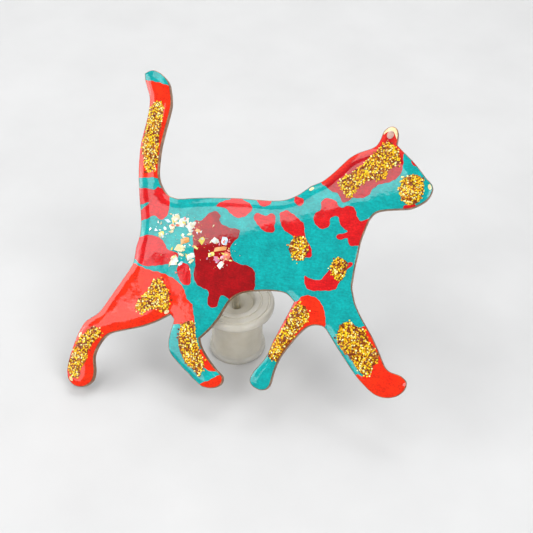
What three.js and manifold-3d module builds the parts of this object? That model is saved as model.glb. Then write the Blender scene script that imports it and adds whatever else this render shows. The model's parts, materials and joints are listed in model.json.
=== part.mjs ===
// A cat-shaped enamel pin, leaning back on its own rubber clutch, which stands upright.
// Millimetres, +Z up. The origin is the middle of the clutch's flat foot, and the cat faces -Y.
//
// A copper plate carries everything: counter enamel, a soldered pad and a bent post behind it, and
// a turquoise ground, red and coral patches, gold glitter, opal flakes and a clear glaze before it.
// The clutch holds the post in a blind bore, and the pin lifts straight out of it.

import * as THREE from 'three';
import { mergeVertices } from 'three/addons/utils/BufferGeometryUtils.js';
import Module from 'manifold-3d';

const wasm = await Module();
wasm.setup();

// ---- Driving dimensions ----

const LEAN = THREE.MathUtils.degToRad(42.5); // the plate above the horizontal
const ROLL = THREE.MathUtils.degToRad(12.9); // the cat turned in its plate, head up

// Layers, each [back, front], measured forward from the plate's back face.
const FILM = 0.02; // the seam left between two layers
const COUNTER = [-0.14, -FILM];
const COPPER = [0, 0.8];
const GROUND = [0.82, 1.0];
const COLOUR = [1.02, 1.07];
const SPARKLE = [1.09, 1.15];
const GLAZE = [1.17, 1.3];

// How far each skin stops short of the plate's edge.
const COUNTER_INSET = 0.5;
const GROUND_INSET = 0.12;
const COLOUR_INSET = 0.16;
const GLAZE_INSET = 0.14;

const SOLDER_THICK = 0.08;
const SOLDER_R = 1.75;
const PAD_THICK = 0.25;
const PAD_R = 1.9;

const POST_R = 0.5;
const POST_ROOT = 0.15; // straight length square to the pad
const POST_BEND_R = 0.8;
const POST_TIP = 0.9; // length of the cone
const POST_TIP_Z = 3.7; // the point's height above the foot
const POST_SIDES = 20;

const CLUTCH_H = 9.9;
const CLUTCH_SIDES = 44;
const FLANGE_R = 5.9;
const FLANGE_THICK = 1.4;
const STUB_R = 4.0;
const LIP_R = 4.45;
const FOOT_R = 4.35;
const BORE_R = 0.56;
const BORE_FLOOR = 3.2;
const RECESS_R = 2.7;
const FLANGE_CLEARANCE = 0.3; // between the flange's front rim and the back of the plate

const FINE = 2; // steps along each span of an outline
const COARSE = 1;

// ---- Colours ----

const TURQUOISE = '#05bdb9';
const ORANGE_RED = '#eb2d0a';
const RED = '#da191e';
const CORAL = '#f06e69';
const CRIMSON = '#96000c';
const GOLD = '#d9a520';

// ---- Outlines, as [x, up] in the plate's own plane from the middle of the pad ----

// The cat, clockwise from the corner of the tail's tip. A corner parts each stretch from the next.
const CAT = [
  // tail_tip_and_front
  [
    [-15.2, 32.1], [-14.4, 32.5], [-13.5, 32.5], [-12.3, 31.8], [-11.3, 30.6], [-10.9, 29.2],
    [-10.7, 26.8], [-11.4, 23.5], [-12, 20.8], [-12.3, 18.2], [-12.3, 15.8], [-11.7, 14.1],
    [-10.6, 12.7], [-8.9, 12.1],
  ],
  // back
  [
    [-8.9, 12.1], [-4, 12.2], [0.9, 12], [5.2, 11.6], [7.9, 11.7], [9.9, 12.5], [11.7, 13.7],
    [13.4, 14.4], [15.4, 16], [17.1, 17.6], [18.6, 18.5], [20.2, 19], [21.2, 19.5], [21.8, 20.4],
    [22.3, 21.6], [23, 22.2], [23.7, 22.3], [24.3, 21.8], [24.4, 20.8], [24.2, 19.6],
  ],
  // face
  [
    [24.2, 19.6], [25.1, 18.6], [26.7, 16.9], [27.7, 15.6], [28.5, 14.5], [29.4, 13.4], [29.3, 12.4],
    [28.7, 11.4], [27.7, 10.7], [26.2, 10.1], [24.3, 10], [22.5, 9.9], [21.3, 9.6], [20.4, 8.7],
    [19.7, 7.1], [19.1, 5.4], [18.7, 3.5], [18.2, 1], [17.9, -1.3],
  ],
  // front_far
  [
    [17.9, -1.3], [18.4, -3.7], [19.6, -6.2], [20.9, -8.4], [22.1, -11], [22.9, -12.8], [23.8, -13.5],
    [25, -13.9], [25.9, -14.8], [25.6, -16], [24.4, -16.9], [22.8, -17.1], [21.3, -16.6], [20, -15.5],
    [18.8, -14.2], [17.5, -12.4], [15.8, -9.9], [14.6, -8], [13.8, -7.1], [12.3, -6.9], [10.9, -7.6],
    [9.1, -9.6], [7.5, -11.8], [6.6, -14], [6.1, -15.8], [5.2, -16.5], [3.9, -16.2], [3.1, -15.2],
    [3.6, -13.9], [4.8, -12.5], [5.7, -11.2], [6.5, -9.3], [7.8, -6.8], [8.9, -4.7], [9.5, -3.5],
  ],
  // belly
  [
    [9.5, -3.5], [8.2, -2.3], [6.3, -1.9], [3.7, -1.9], [1.2, -2.3], [-0.5, -3.5], [-1.9, -5.8],
    [-3.3, -7.6], [-4.9, -9.1],
  ],
  // rear_far
  [
    [-4.9, -9.1], [-4.6, -10.2], [-3.5, -12], [-2.1, -13.7], [-1.1, -14.7], [-1.3, -15.8],
    [-2.5, -16.4], [-4.3, -16.1], [-6.3, -14.4], [-8.1, -12.7], [-9.4, -11.1], [-9.6, -9.4],
    [-9.2, -7.6], [-8.9, -6.3], [-9.6, -5.5],
  ],
  // rear_near
  [
    [-9.6, -5.5], [-11.5, -6.5], [-14, -7.4], [-17.3, -8.1], [-19.4, -8.7], [-20.8, -10.3],
    [-21.5, -12.2], [-21.3, -14.2], [-21.6, -15.8], [-22.9, -16.7], [-24.4, -16.6], [-25.5, -15.5],
    [-25.7, -13.8], [-25.2, -11.5], [-24.3, -8.9], [-23.1, -6.8], [-21, -5.4], [-18.9, -2.5],
    [-17.3, -0.2], [-15.8, 2.2], [-15.4, 4.7], [-14.9, 6.5], [-14.8, 9], [-15.2, 12.3],
  ],
  // tail_back
  [
    [-15.2, 12.3], [-15.5, 15.9], [-15.5, 18.7], [-15.3, 21.1], [-14.7, 23.9], [-14.3, 26],
    [-14.2, 28], [-14.6, 29.5], [-15.1, 31.1], [-15.2, 32.1],
  ],
];

// Enamel laid on the ground. A patch that reaches the edge is drawn past it and cut back.
const PATCHES = {
  tail_red: [
    [-15.4, 30.9], [-14.2, 30.8], [-12.9, 30.5], [-10.6, 29.6], [-10, 27.6], [-10.6, 23.5],
    [-11.4, 19.7], [-11.6, 16.3], [-11.9, 15.3], [-13.2, 15.5], [-15.5, 15.5], [-16.2, 16.7],
    [-16.1, 21.4], [-15.2, 26.2], [-15.1, 28.6],
  ],
  tail_base_red: [
    [-16.1, 13.7], [-14.1, 13.8], [-12.8, 13.5], [-12.2, 14], [-11.3, 13.3], [-10.5, 12.5],
    [-10.2, 11.4], [-10.3, 10], [-11.1, 8.9], [-12, 9.1], [-12.6, 9.6], [-13.6, 9.1], [-14.9, 8.8],
    [-16, 8.9], [-16.2, 10.1], [-14.8, 10.4], [-13.4, 11.6], [-14.8, 11.3], [-16.3, 11.4],
    [-16.5, 12.6],
  ],
  rump_red: [
    [-15.7, 5.7], [-14.8, 6.2], [-13.6, 6.5], [-12.5, 6.4], [-11.5, 6], [-10.7, 5.2], [-10.2, 4.3],
    [-9.5, 4], [-8.5, 3.6], [-8.7, 2.5], [-9.6, 2.1], [-11.3, 1.9], [-13.4, 1.7], [-14.9, 2.3],
    [-15.6, 3.4],
  ],
  hip_small_red: [
    [-8.4, 1.9], [-7.5, 2.2], [-6.8, 1.8], [-6.4, 0.5], [-6.4, -0.8], [-6.9, -1.2], [-7.8, -0.8],
    [-8.5, 0.7],
  ],
  hind_leg_red: [
    [-16.2, 2.2], [-14.5, 1.7], [-12.9, 1.1], [-11.1, 0.7], [-9.4, 0], [-8, -1], [-7.3, -2.1],
    [-6.9, -3.3], [-6, -4], [-5.8, -5.3], [-5.6, -6.7], [-6.6, -7.1], [-7.8, -7], [-8.8, -7],
    [-9.6, -6.4], [-11.4, -7.3], [-13.9, -8.2], [-17, -8.7], [-19.2, -9.3], [-20.1, -10.5],
    [-20.8, -12.4], [-20.7, -14.5], [-21.1, -16.3], [-22.8, -17.4], [-25, -17.3], [-26.4, -15.8],
    [-26.5, -13.6], [-26, -11.2], [-25, -8.3], [-23.4, -6.1], [-21.5, -4.7], [-19.5, -2.1],
    [-17.7, 0.5],
  ],
  crimson_patch: [
    [-6.3, 8.4], [-5.4, 8.6], [-4.8, 8.8], [-4, 9.6], [-3.3, 10], [-2.5, 9.9], [-2, 9.3], [-2.2, 8.6],
    [-1.5, 7.9], [-0.2, 7.4], [1, 7.2], [0.8, 6.1], [0, 5.2], [-0.4, 4.3], [0, 2.8], [1.2, 2],
    [2.6, 1.7], [3.4, 1], [3.6, -0.1], [3.5, -1.4], [2.9, -2.4], [1.3, -2.7], [0.1, -3.4],
    [-0.8, -2.9], [-1.6, -2.7], [-1.9, -3.5], [-2.2, -4.3], [-3, -4.5], [-3.6, -3.8], [-3.5, -2.3],
    [-4.1, -1.7], [-5.1, -1.3], [-5.8, -0.2], [-5.9, 1.1], [-5.7, 2], [-6, 3.9], [-6.3, 6],
  ],
  back_coral: [
    [-2.8, 10.8], [-2.2, 11.4], [-1, 11.8], [0.6, 11.9], [1.8, 11.5], [2.8, 10.7], [2.6, 9.9],
    [1.7, 9.2], [0.5, 9], [-0.5, 9.7], [-1.2, 10.4], [-2.2, 10.7],
  ],
  back_small_coral: [
    [3.5, 12], [5.6, 11.9], [5.6, 11.1], [5, 10.7], [4.3, 10.7], [3.7, 11.2],
  ],
  shoulder_dot_coral: [
    [9.1, 11.6], [9.4, 12], [10, 12], [10.6, 11.6], [10.6, 11], [10.1, 10.7], [9.5, 10.9],
  ],
  flank_heart_red: [
    [3.1, 9.1], [3.4, 9.6], [4, 9.6], [5, 9.2], [5.6, 9.6], [6.2, 9.4], [6.4, 8.8], [6.3, 7.6],
    [6.4, 7], [5.8, 6.7], [4.7, 7], [3.9, 7.7], [3.4, 8.4],
  ],
  flank_drop_red: [
    [7.1, 9.1], [7.2, 9.7], [8, 10], [8.9, 9.6], [9.8, 8.8], [10.7, 8], [10.9, 6.6], [11.2, 5.6],
    [11.9, 4.4], [12, 3.2], [11.3, 3], [10.5, 3.1], [9.8, 4.1], [9.6, 5.1], [9, 6.2], [7.7, 7.2],
    [7.2, 8.2],
  ],
  neck_red: [
    [13.3, 11.1], [13.7, 11.7], [14.5, 11.7], [15.4, 11.3], [15.9, 10.5], [16.6, 10.3], [17.1, 10.6],
    [17.9, 10.4], [18.4, 9.8], [18.5, 9.1], [19, 8.4], [19.7, 8.4], [20.7, 9], [19.9, 6.7],
    [19.1, 5.2], [18.6, 4.7], [17.8, 4.7], [17.4, 5.1], [17.3, 5.8], [16.4, 5.6], [15.8, 5.7],
    [15.5, 6.1], [16, 6.4], [17, 6.6], [17.2, 6.9], [16.5, 7.4], [16, 8.1], [15.9, 8.8], [15.3, 9.1],
    [14.7, 8.8], [14.6, 8.1], [14.3, 7.4], [13.5, 7.2], [12.7, 7.6], [12.2, 8.5], [12.3, 9.4],
    [12.9, 9.8], [13.3, 10.2],
  ],
  head_crimson: [
    [13, 14.4], [14, 13.4], [14.8, 12.8], [15.7, 12.4], [16.1, 11.8], [16.5, 11.1], [17.2, 11.2],
    [17.9, 11.7], [19.2, 11.7], [20.3, 12.2], [20.8, 13], [21.8, 13.7], [23.3, 14], [24.3, 14.6],
    [25, 15.5], [25.2, 16.8], [25.1, 17.8], [25.4, 18.7], [25, 20.2], [24.8, 22.6], [23.5, 23.1],
    [21.9, 22.4], [21.2, 20.3], [19.7, 19.6], [17.7, 18.8], [15.9, 17.3], [13.9, 15.3],
  ],
  brow_red: [
    [26.1, 17.6], [26.7, 17.2], [27.3, 16.2], [27, 16.2], [26.4, 16.8],
  ],
  jaw_red: [
    [25.3, 10.4], [25.9, 10.6], [27, 10.7], [27.2, 10.1], [25.9, 9.7], [25.1, 9.8],
  ],
  chest_crescent_red: [
    [11, 0.3], [11.5, 0], [12.4, -0.3], [13.3, -0.3], [14, 0.3], [14.7, 1.2], [15.6, 1.7], [16.6, 1.7],
    [17.7, 2.3], [18.1, 2], [17.5, 1.4], [16.5, 0.3], [16.1, -0.8], [15.6, -1.6], [14.5, -1.9],
    [13, -1.9], [11.7, -1.8], [11.1, -0.9],
  ],
  front_near_leg_red: [
    [9.1, -3.9], [10, -3.4], [10.7, -2.8], [11.7, -2.6], [12.8, -3], [13.6, -3.8], [14.1, -5],
    [14.2, -6.6], [13.7, -7.7], [11.1, -8.1], [9.4, -10], [8.1, -11.8], [7.3, -12.2], [6.4, -11.7],
    [5.7, -11.2], [4.9, -10.9], [6.1, -8.7], [7.5, -5.9], [8.6, -3.3],
  ],
  front_far_leg_red: [
    [19.5, -7.1], [20.6, -7.6], [22.7, -10.6], [23.6, -12.7], [25.3, -13.4], [26.5, -14.7],
    [26.1, -16.4], [24.2, -17.6], [22, -17.7], [20, -16.3], [18.8, -14.4], [19, -13.9], [19.9, -14.1],
    [20.8, -13.5], [21.1, -12.1], [20.2, -9.7],
  ],
  rear_far_paw_red: [
    [-5.3, -10.9], [-4.9, -10.7], [-4.1, -11.1], [-2.9, -12.6], [-2, -13.7], [-2.4, -14],
    [-3.8, -13.5], [-4.6, -12.6],
  ],
  rear_far_toe_red: [
    [-4.4, -15.8], [-3.3, -15.4], [-2.4, -14.9], [-1.6, -14.5], [-0.6, -14.7], [-0.8, -16.6],
    [-3.4, -17.1],
  ],
};

const PATCH_COLOURS = {
  tail_red: ORANGE_RED,
  hind_leg_red: ORANGE_RED,
  front_near_leg_red: ORANGE_RED,
  front_far_leg_red: ORANGE_RED,
  crimson_patch: CRIMSON,
  head_crimson: CRIMSON,
  back_coral: CORAL,
  back_small_coral: CORAL,
  shoulder_dot_coral: CORAL,
};

const GLITTER = {
  tail_gold: [
    [-13.2, 27.4], [-12.6, 27.4], [-11.8, 26.8], [-11.8, 25.7], [-12, 24.1], [-12.3, 22.1],
    [-12.4, 19.7], [-12.6, 17.7], [-13.2, 16.5], [-14, 16.3], [-14.4, 17.4], [-14.8, 19],
    [-15.1, 20.3], [-14.9, 21.5], [-14.5, 23.6], [-14.2, 25.7], [-13.9, 26.6],
  ],
  head_gold: [
    [22.3, 19.8], [23.4, 19.7], [24.2, 19], [24.6, 18.1], [24.7, 16.9], [23.7, 16.2], [23, 15.5],
    [22.6, 14.5], [21.8, 14.2], [21, 14.4], [19.8, 14.1], [18.8, 13.4], [18.1, 12.5], [17.6, 11.8],
    [16.7, 12.3], [16.1, 13.2], [16, 14.3], [16.7, 15], [18, 15.6], [19.2, 16.6], [20.3, 17.6],
    [21.2, 18.5],
  ],
  snout_gold: [
    [26.3, 15], [27.2, 14.9], [28, 14.3], [28.2, 13.3], [28, 12.1], [27.4, 11], [26.6, 10.6],
    [25.6, 10.8], [24.9, 11.8], [24.7, 12.9], [25, 14.1], [25.5, 14.7],
  ],
  belly_gold: [
    [9.6, 6], [10.3, 6.2], [11, 5.7], [11.5, 4.8], [11.4, 3.8], [10.9, 2.8], [10.1, 2.5], [9.4, 2.7],
    [8.8, 3.5], [8.6, 4.5], [8.9, 5.4],
  ],
  chest_gold: [
    [15.6, 2.8], [16.3, 2.9], [17.1, 2.4], [17.3, 1.6], [17, 0.6], [16.6, -0.2], [15.9, -0.5],
    [15.4, 0], [14.9, 1], [15, 2],
  ],
  thigh_gold: [
    [-11.6, -0.1], [-10.8, -0.6], [-10.3, -1.3], [-9.7, -2.4], [-9.6, -3.7], [-9.8, -4.8],
    [-10.5, -5.2], [-11.5, -4.8], [-12.6, -4.8], [-13.7, -5.4], [-14.6, -5.1], [-14.8, -4.1],
    [-14, -3.2], [-13.2, -2.1], [-12.5, -1],
  ],
  hind_leg_gold: [
    [-21.9, -7.7], [-21.1, -7.7], [-20.3, -8.5], [-21, -9.4], [-21.9, -10.5], [-22.4, -11.6],
    [-22.6, -12.9], [-23.3, -13.9], [-23.5, -15.1], [-24.2, -15.4], [-25.1, -15], [-25.6, -13.8],
    [-25.2, -12.5], [-24.6, -10.9], [-23.8, -9.4], [-22.8, -8.4],
  ],
  rear_far_gold: [
    [-7.5, -7], [-6.4, -6.6], [-5.5, -7], [-5.4, -8.3], [-5.1, -9.5], [-4.7, -10.8], [-4, -12.3],
    [-3.8, -13.3], [-4.3, -14.3], [-4.6, -14.9], [-5.2, -14], [-6.3, -13.2], [-7.2, -11.9],
    [-7.8, -10.5], [-7.9, -8.8],
  ],
  front_near_gold: [
    [9.8, -4], [10.6, -3.9], [11.2, -4.4], [11.8, -5.4], [11.5, -6.4], [10.5, -7.4], [9.5, -8.7],
    [8.6, -10.1], [7.7, -11.5], [7.1, -12.3], [6.3, -11.9], [5.9, -11.2], [6.5, -9.9], [7.2, -8.4],
    [8.2, -7], [9, -5.4],
  ],
  front_far_gold: [
    [16.9, -6.6], [18.1, -6.4], [18.5, -7], [19.6, -7.3], [20.1, -8.1], [20.6, -9.2], [21.4, -10.1],
    [22, -11.3], [21.8, -12.2], [21.1, -12.7], [21, -13.5], [20.4, -14], [19.6, -13.8], [18.9, -13],
    [18.2, -11.9], [17.2, -10.9], [16.4, -9.9], [16, -8.7], [16.2, -7.4],
  ],
};

// Opal flakes on the flank: [x, up, length, width, turn in degrees, colour].
const FLAKES = [
  [-9.1, 9.0, 1.3, 0.7, 30, 'cream'],
  [-8.1, 8.3, 1.0, 1.0, -10, 'white'],
  [-9.6, 7.8, 0.8, 0.7, -60, 'cream'],
  [-6.7, 7.8, 1.0, 0.9, -40, 'white'],
  [-11.3, 6.7, 0.8, 0.5, 25, 'yellow'],
  [-7.5, 5.6, 1.3, 0.7, 20, 'orange'],
  [-4.8, 5.6, 0.9, 0.7, 50, 'yellow'],
  [-2.7, 5.5, 1.0, 0.7, -35, 'white'],
  [-1.3, 5.5, 0.9, 1.0, -10, 'blue'],
  [-1.9, 4.3, 1.8, 0.5, 8, 'orange'],
  [-3.3, 3.5, 0.9, 0.5, 20, 'yellow'],
  [-0.9, 3.2, 1.0, 1.0, -20, 'coral'],
  [-2.4, 2.7, 0.7, 0.7, 50, 'pink'],
  [-1.8, 1.9, 1.0, 0.6, 55, 'white'],
  [-8.3, 4.5, 1.2, 0.9, -15, 'cream'],
  [-9.1, 2.6, 1.0, 1.2, 0, 'white'],
  [-6.5, 3.2, 1.2, 0.7, 30, 'white'],
  [-5.5, 7.1, 0.7, 0.4, -25, 'orange'],
];

const FLAKE_COLOURS = {
  cream: '#f4ecc8',
  white: '#f6f6f2',
  yellow: '#f2da62',
  orange: '#f0ab5c',
  blue: '#dcecf8',
  coral: '#f28468',
  pink: '#ec8fa8',
};

// ---- Helpers ----

function vectors(points) {
  return points.map(([x, y]) => new THREE.Vector2(x, y));
}

// The points along open stretches that meet end to end.
function chain(stretches, steps) {
  return stretches.flatMap((stretch) => {
    const curve = new THREE.SplineCurve(vectors(stretch));
    return curve.getPoints((stretch.length - 1) * steps).slice(0, -1);
  });
}

// The points round a smooth closed loop.
function loop(points, steps) {
  const through = points.map(([x, y]) => new THREE.Vector3(x, y, 0));
  const curve = new THREE.CatmullRomCurve3(through, true, 'catmullrom', 0.5);
  return curve.getPoints(points.length * steps).slice(0, -1);
}

// A clockwise outline moved inwards by a distance, with mitred corners.
function inset(points, distance) {
  return points.map((point, i) => {
    const before = points[(i + points.length - 1) % points.length];
    const after = points[(i + 1) % points.length];
    const a = new THREE.Vector2().subVectors(point, before).normalize();
    const b = new THREE.Vector2().subVectors(after, point).normalize();
    const inwards = new THREE.Vector2(a.y + b.y, -a.x - b.x);
    return inwards.multiplyScalar(distance / (1 + a.dot(b))).add(point);
  });
}

// A flat slab of an outline between two heights of the layer stack.
function slab(points, [back, front]) {
  const shape = new THREE.Shape(points.map((p) => new THREE.Vector2(p.x, p.y)));
  const geometry = new THREE.ExtrudeGeometry(shape, { depth: front - back, bevelEnabled: false });
  return geometry.translate(0, 0, back);
}

function toSolid(geometry) {
  const plain = geometry.clone();
  plain.deleteAttribute('normal');
  plain.deleteAttribute('uv');
  const merged = mergeVertices(plain, 1e-5);
  return new wasm.Manifold(
    new wasm.Mesh({
      numProp: 3,
      vertProperties: new Float32Array(merged.attributes.position.array),
      triVerts: new Uint32Array(merged.index.array),
    }),
  );
}

function toGeometry(solid) {
  const mesh = solid.getMesh();
  const geometry = new THREE.BufferGeometry();
  geometry.setAttribute('position', new THREE.BufferAttribute(mesh.vertProperties, 3));
  geometry.setIndex(new THREE.BufferAttribute(mesh.triVerts, 1));
  geometry.computeVertexNormals();
  return geometry;
}

function piece(name, geometry, color, roughness, metalness) {
  const material = new THREE.MeshStandardMaterial({ color, roughness, metalness });
  const mesh = new THREE.Mesh(geometry, material);
  mesh.name = name;
  return mesh;
}

// ---- The plate and its skins ----

const fineCat = chain(CAT, FINE);
const coarseCat = chain(CAT, COARSE);

function plateAndSkins() {
  const plate = slab(fineCat, COPPER);
  const counter = slab(inset(coarseCat, COUNTER_INSET), COUNTER);
  const ground = slab(inset(fineCat, GROUND_INSET), GROUND);
  const glaze = slab(inset(coarseCat, GLAZE_INSET), GLAZE);
  return [
    piece('copper_plate', plate, '#875a41', 0.45, 0.8),
    piece('counter_enamel', counter, '#2b3436', 0.25, 0),
    piece('turquoise_ground', ground, TURQUOISE, 0.15, 0),
    piece('clear_glaze', glaze, '#e8f4f2', 0.05, 0),
  ];
}

function colourPatches() {
  const edge = toSolid(slab(inset(fineCat, COLOUR_INSET), [COLOUR[0] - 1, COLOUR[1] + 1]));
  return Object.entries(PATCHES).map(([name, points]) => {
    const patch = toSolid(slab(loop(points, FINE), COLOUR)).intersect(edge);
    return piece(name, toGeometry(patch), PATCH_COLOURS[name] ?? RED, 0.15, 0);
  });
}

function glitterPatches() {
  const edge = toSolid(slab(inset(fineCat, COLOUR_INSET), [SPARKLE[0] - 1, SPARKLE[1] + 1]));
  return Object.entries(GLITTER).map(([name, points]) => {
    const patch = toSolid(slab(loop(points, FINE), SPARKLE)).intersect(edge);
    return piece(name, toGeometry(patch), GOLD, 0.3, 0.9);
  });
}

// A flake is a chipped parallelogram: one corner is cut off.
function opalFlakes() {
  return FLAKES.map(([x, up, length, width, turn, colour], i) => {
    const l = length / 2;
    const w = width / 2;
    const corners = vectors([[-l, -w], [l * 0.8, -w], [l, w * 0.5], [l * 0.5, w], [-l * 0.7, w]]);
    const turned = corners.map((corner) =>
      corner.rotateAround(new THREE.Vector2(), THREE.MathUtils.degToRad(turn)).add({ x, y: up }),
    );
    const name = `opal_flake_${String(i + 1).padStart(2, '0')}`;
    return piece(name, slab(turned, SPARKLE), FLAKE_COLOURS[colour], 0.1, 0.2);
  });
}

// ---- The pad and the post ----

const SOLDER_BACK = COUNTER[0] - FILM - SOLDER_THICK;
const PAD_BACK = SOLDER_BACK - FILM - PAD_THICK;
const ROOT_BACK = PAD_BACK - FILM;

function disc(radius, back, thick) {
  const geometry = new THREE.CylinderGeometry(radius, radius, thick, CLUTCH_SIDES);
  return geometry.rotateX(Math.PI / 2).translate(0, 0, back + thick / 2);
}

function pad() {
  return [
    piece('pad_solder', disc(SOLDER_R, SOLDER_BACK, SOLDER_THICK), '#9a9a94', 0.5, 0.8),
    piece('post_pad', disc(PAD_R, PAD_BACK, PAD_THICK), '#b9bab6', 0.35, 0.9),
  ];
}

// Where the middle of the pad's place on the plate's back lies, over the clutch's axis at x = 0.
const BASE_Y = -POST_BEND_R * (1 - Math.cos(LEAN)) - (POST_ROOT - ROOT_BACK) * Math.sin(LEAN);
const RIM_REACH = FLANGE_R * Math.sin(LEAN) + CLUTCH_H * Math.cos(LEAN) + FLANGE_CLEARANCE;
const BASE_Z = (RIM_REACH + BASE_Y * Math.sin(LEAN)) / Math.cos(LEAN);

// Height at which the post, coming up the clutch's axis, starts to bend towards the pad.
const SQUARE_RUN = (POST_ROOT - ROOT_BACK) * Math.cos(LEAN);
const BEND_Z = BASE_Z - SQUARE_RUN - POST_BEND_R * Math.sin(LEAN);

// The post is a row of round sections from its point, up the axis and round the bend to the pad.
function post() {
  const bendSteps = 6;
  const stations = [
    { at: new THREE.Vector3(0, 0, POST_TIP_Z), r: 0, turn: 0 },
    { at: new THREE.Vector3(0, 0, POST_TIP_Z + POST_TIP), r: POST_R, turn: 0 },
  ];
  for (let i = 0; i <= bendSteps; i += 1) {
    const turn = (LEAN * i) / bendSteps;
    const y = POST_BEND_R * (Math.cos(turn) - 1);
    stations.push({ at: new THREE.Vector3(0, y, BEND_Z + POST_BEND_R * Math.sin(turn)), r: POST_R, turn });
  }
  const square = new THREE.Vector3(0, -Math.sin(LEAN), Math.cos(LEAN));
  const end = stations.at(-1).at.clone().addScaledVector(square, POST_ROOT);
  stations.push({ at: end, r: POST_R, turn: LEAN }, { at: end, r: 0, turn: LEAN });

  const positions = [];
  for (const { at, r, turn } of stations) {
    for (let k = 0; k < POST_SIDES; k += 1) {
      const angle = (2 * Math.PI * k) / POST_SIDES;
      const spoke = new THREE.Vector3(Math.cos(angle) * r, Math.sin(angle) * r, 0);
      spoke.applyAxisAngle(new THREE.Vector3(1, 0, 0), turn).add(at);
      positions.push(...spoke.toArray());
    }
  }
  const index = [];
  for (let s = 0; s < stations.length - 1; s += 1) {
    for (let k = 0; k < POST_SIDES; k += 1) {
      const a = s * POST_SIDES + k;
      const b = s * POST_SIDES + ((k + 1) % POST_SIDES);
      if (stations[s].r > 0) index.push(a, b, a + POST_SIDES);
      if (stations[s + 1].r > 0) index.push(b, b + POST_SIDES, a + POST_SIDES);
    }
  }
  const geometry = new THREE.BufferGeometry();
  geometry.setAttribute('position', new THREE.Float32BufferAttribute(positions, 3));
  geometry.setIndex(index);
  return piece('tack_post', mergeVertices(geometry, 1e-5), '#b8a878', 0.3, 1);
}

// ---- The clutch ----

function clutch() {
  const underside = CLUTCH_H - FLANGE_THICK;
  const profile = vectors([
    [0, 0],
    [FOOT_R, 0],
    [LIP_R, 0.2],
    [LIP_R, 0.75],
    [STUB_R, 1.15],
    [STUB_R + 0.05, underside - 0.5],
    [STUB_R + 0.2, underside - 0.15],
    [STUB_R + 0.55, underside],
    [FLANGE_R - 0.3, underside + 0.05],
    [FLANGE_R - 0.05, underside + 0.3],
    [FLANGE_R, underside + 0.7],
    [FLANGE_R, CLUTCH_H - 0.3],
    [FLANGE_R - 0.2, CLUTCH_H],
    [RECESS_R + 0.25, CLUTCH_H],
    [RECESS_R, CLUTCH_H - 0.2],
    [RECESS_R - 0.1, CLUTCH_H - 0.5],
    [1.5, CLUTCH_H - 0.6],
    [BORE_R, CLUTCH_H - 1.3],
    [BORE_R, BORE_FLOOR],
    [0, BORE_FLOOR],
  ]);
  const geometry = new THREE.LatheGeometry(profile, CLUTCH_SIDES).rotateX(Math.PI / 2);
  return piece('rubber_clutch', geometry, '#c8c1af', 0.5, 0);
}

// ---- Assembly ----

const turned = new THREE.Group();
turned.rotation.z = ROLL;
turned.add(...plateAndSkins(), ...colourPatches(), ...glitterPatches(), ...opalFlakes(), ...pad());

const leaning = new THREE.Group();
leaning.rotation.x = LEAN;
leaning.position.set(0, BASE_Y, BASE_Z);
leaning.add(turned);

const pin = new THREE.Group();
pin.add(leaning, post(), clutch());

export default pin;
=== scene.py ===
"""Looks for a cat-shaped enamel pin that leans back on its upright rubber clutch.

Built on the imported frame: domed glossy enamels over a cut copper plate, gold glitter, opal chips and a
translucent clutch. "Plate" coordinates are millimetres across the plate, up its slope and out of it. The
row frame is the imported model's own, in metres, with the clutch's foot at its origin and Z up.
"""

import json
import math

import bpy
import numpy as np
from mathutils import Matrix, Vector
from mathutils.geometry import delaunay_2d_cdt
from mathutils.kdtree import KDTree


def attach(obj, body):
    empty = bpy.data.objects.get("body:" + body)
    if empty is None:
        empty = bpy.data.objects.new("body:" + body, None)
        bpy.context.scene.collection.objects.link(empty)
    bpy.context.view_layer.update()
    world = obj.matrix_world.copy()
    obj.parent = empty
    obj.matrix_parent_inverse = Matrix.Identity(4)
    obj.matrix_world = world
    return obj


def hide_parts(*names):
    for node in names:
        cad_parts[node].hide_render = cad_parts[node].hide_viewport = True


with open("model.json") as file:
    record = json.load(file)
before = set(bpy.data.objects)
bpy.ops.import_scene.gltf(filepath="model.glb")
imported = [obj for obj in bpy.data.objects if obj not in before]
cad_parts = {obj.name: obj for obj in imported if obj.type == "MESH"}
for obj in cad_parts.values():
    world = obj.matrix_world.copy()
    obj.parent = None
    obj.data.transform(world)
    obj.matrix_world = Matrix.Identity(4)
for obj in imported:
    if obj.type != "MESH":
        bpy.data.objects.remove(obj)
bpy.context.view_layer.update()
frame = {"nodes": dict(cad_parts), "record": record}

MM = 0.001

# ---- The plate's own axes ----

MOUNTS = {m["name"]: m for m in frame["record"]["mounts"]}
NORMAL = -np.array(MOUNTS["cloth_face"]["axis"], float)
NORMAL /= np.linalg.norm(NORMAL)
ACROSS = np.array([1.0, 0.0, 0.0])
AXES = np.array([ACROSS, np.cross(NORMAL, ACROSS), NORMAL])


def node_points(name):
    """A CAD node's vertices in plate coordinates, with height still counted from the row's origin."""
    mesh = frame["nodes"][name].data
    points = np.empty(3 * len(mesh.vertices))
    mesh.vertices.foreach_get("co", points)
    return points.reshape(-1, 3) / MM @ AXES.T


BACK = node_points("copper_plate")[:, 2].min()


def to_row(points):
    """Plate coordinates, with height counted from the plate's back, as metres in the row frame."""
    return (np.asarray(points) + [0, 0, BACK]) @ AXES * MM


# ---- Levels and profiles, in millimetres ----

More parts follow.
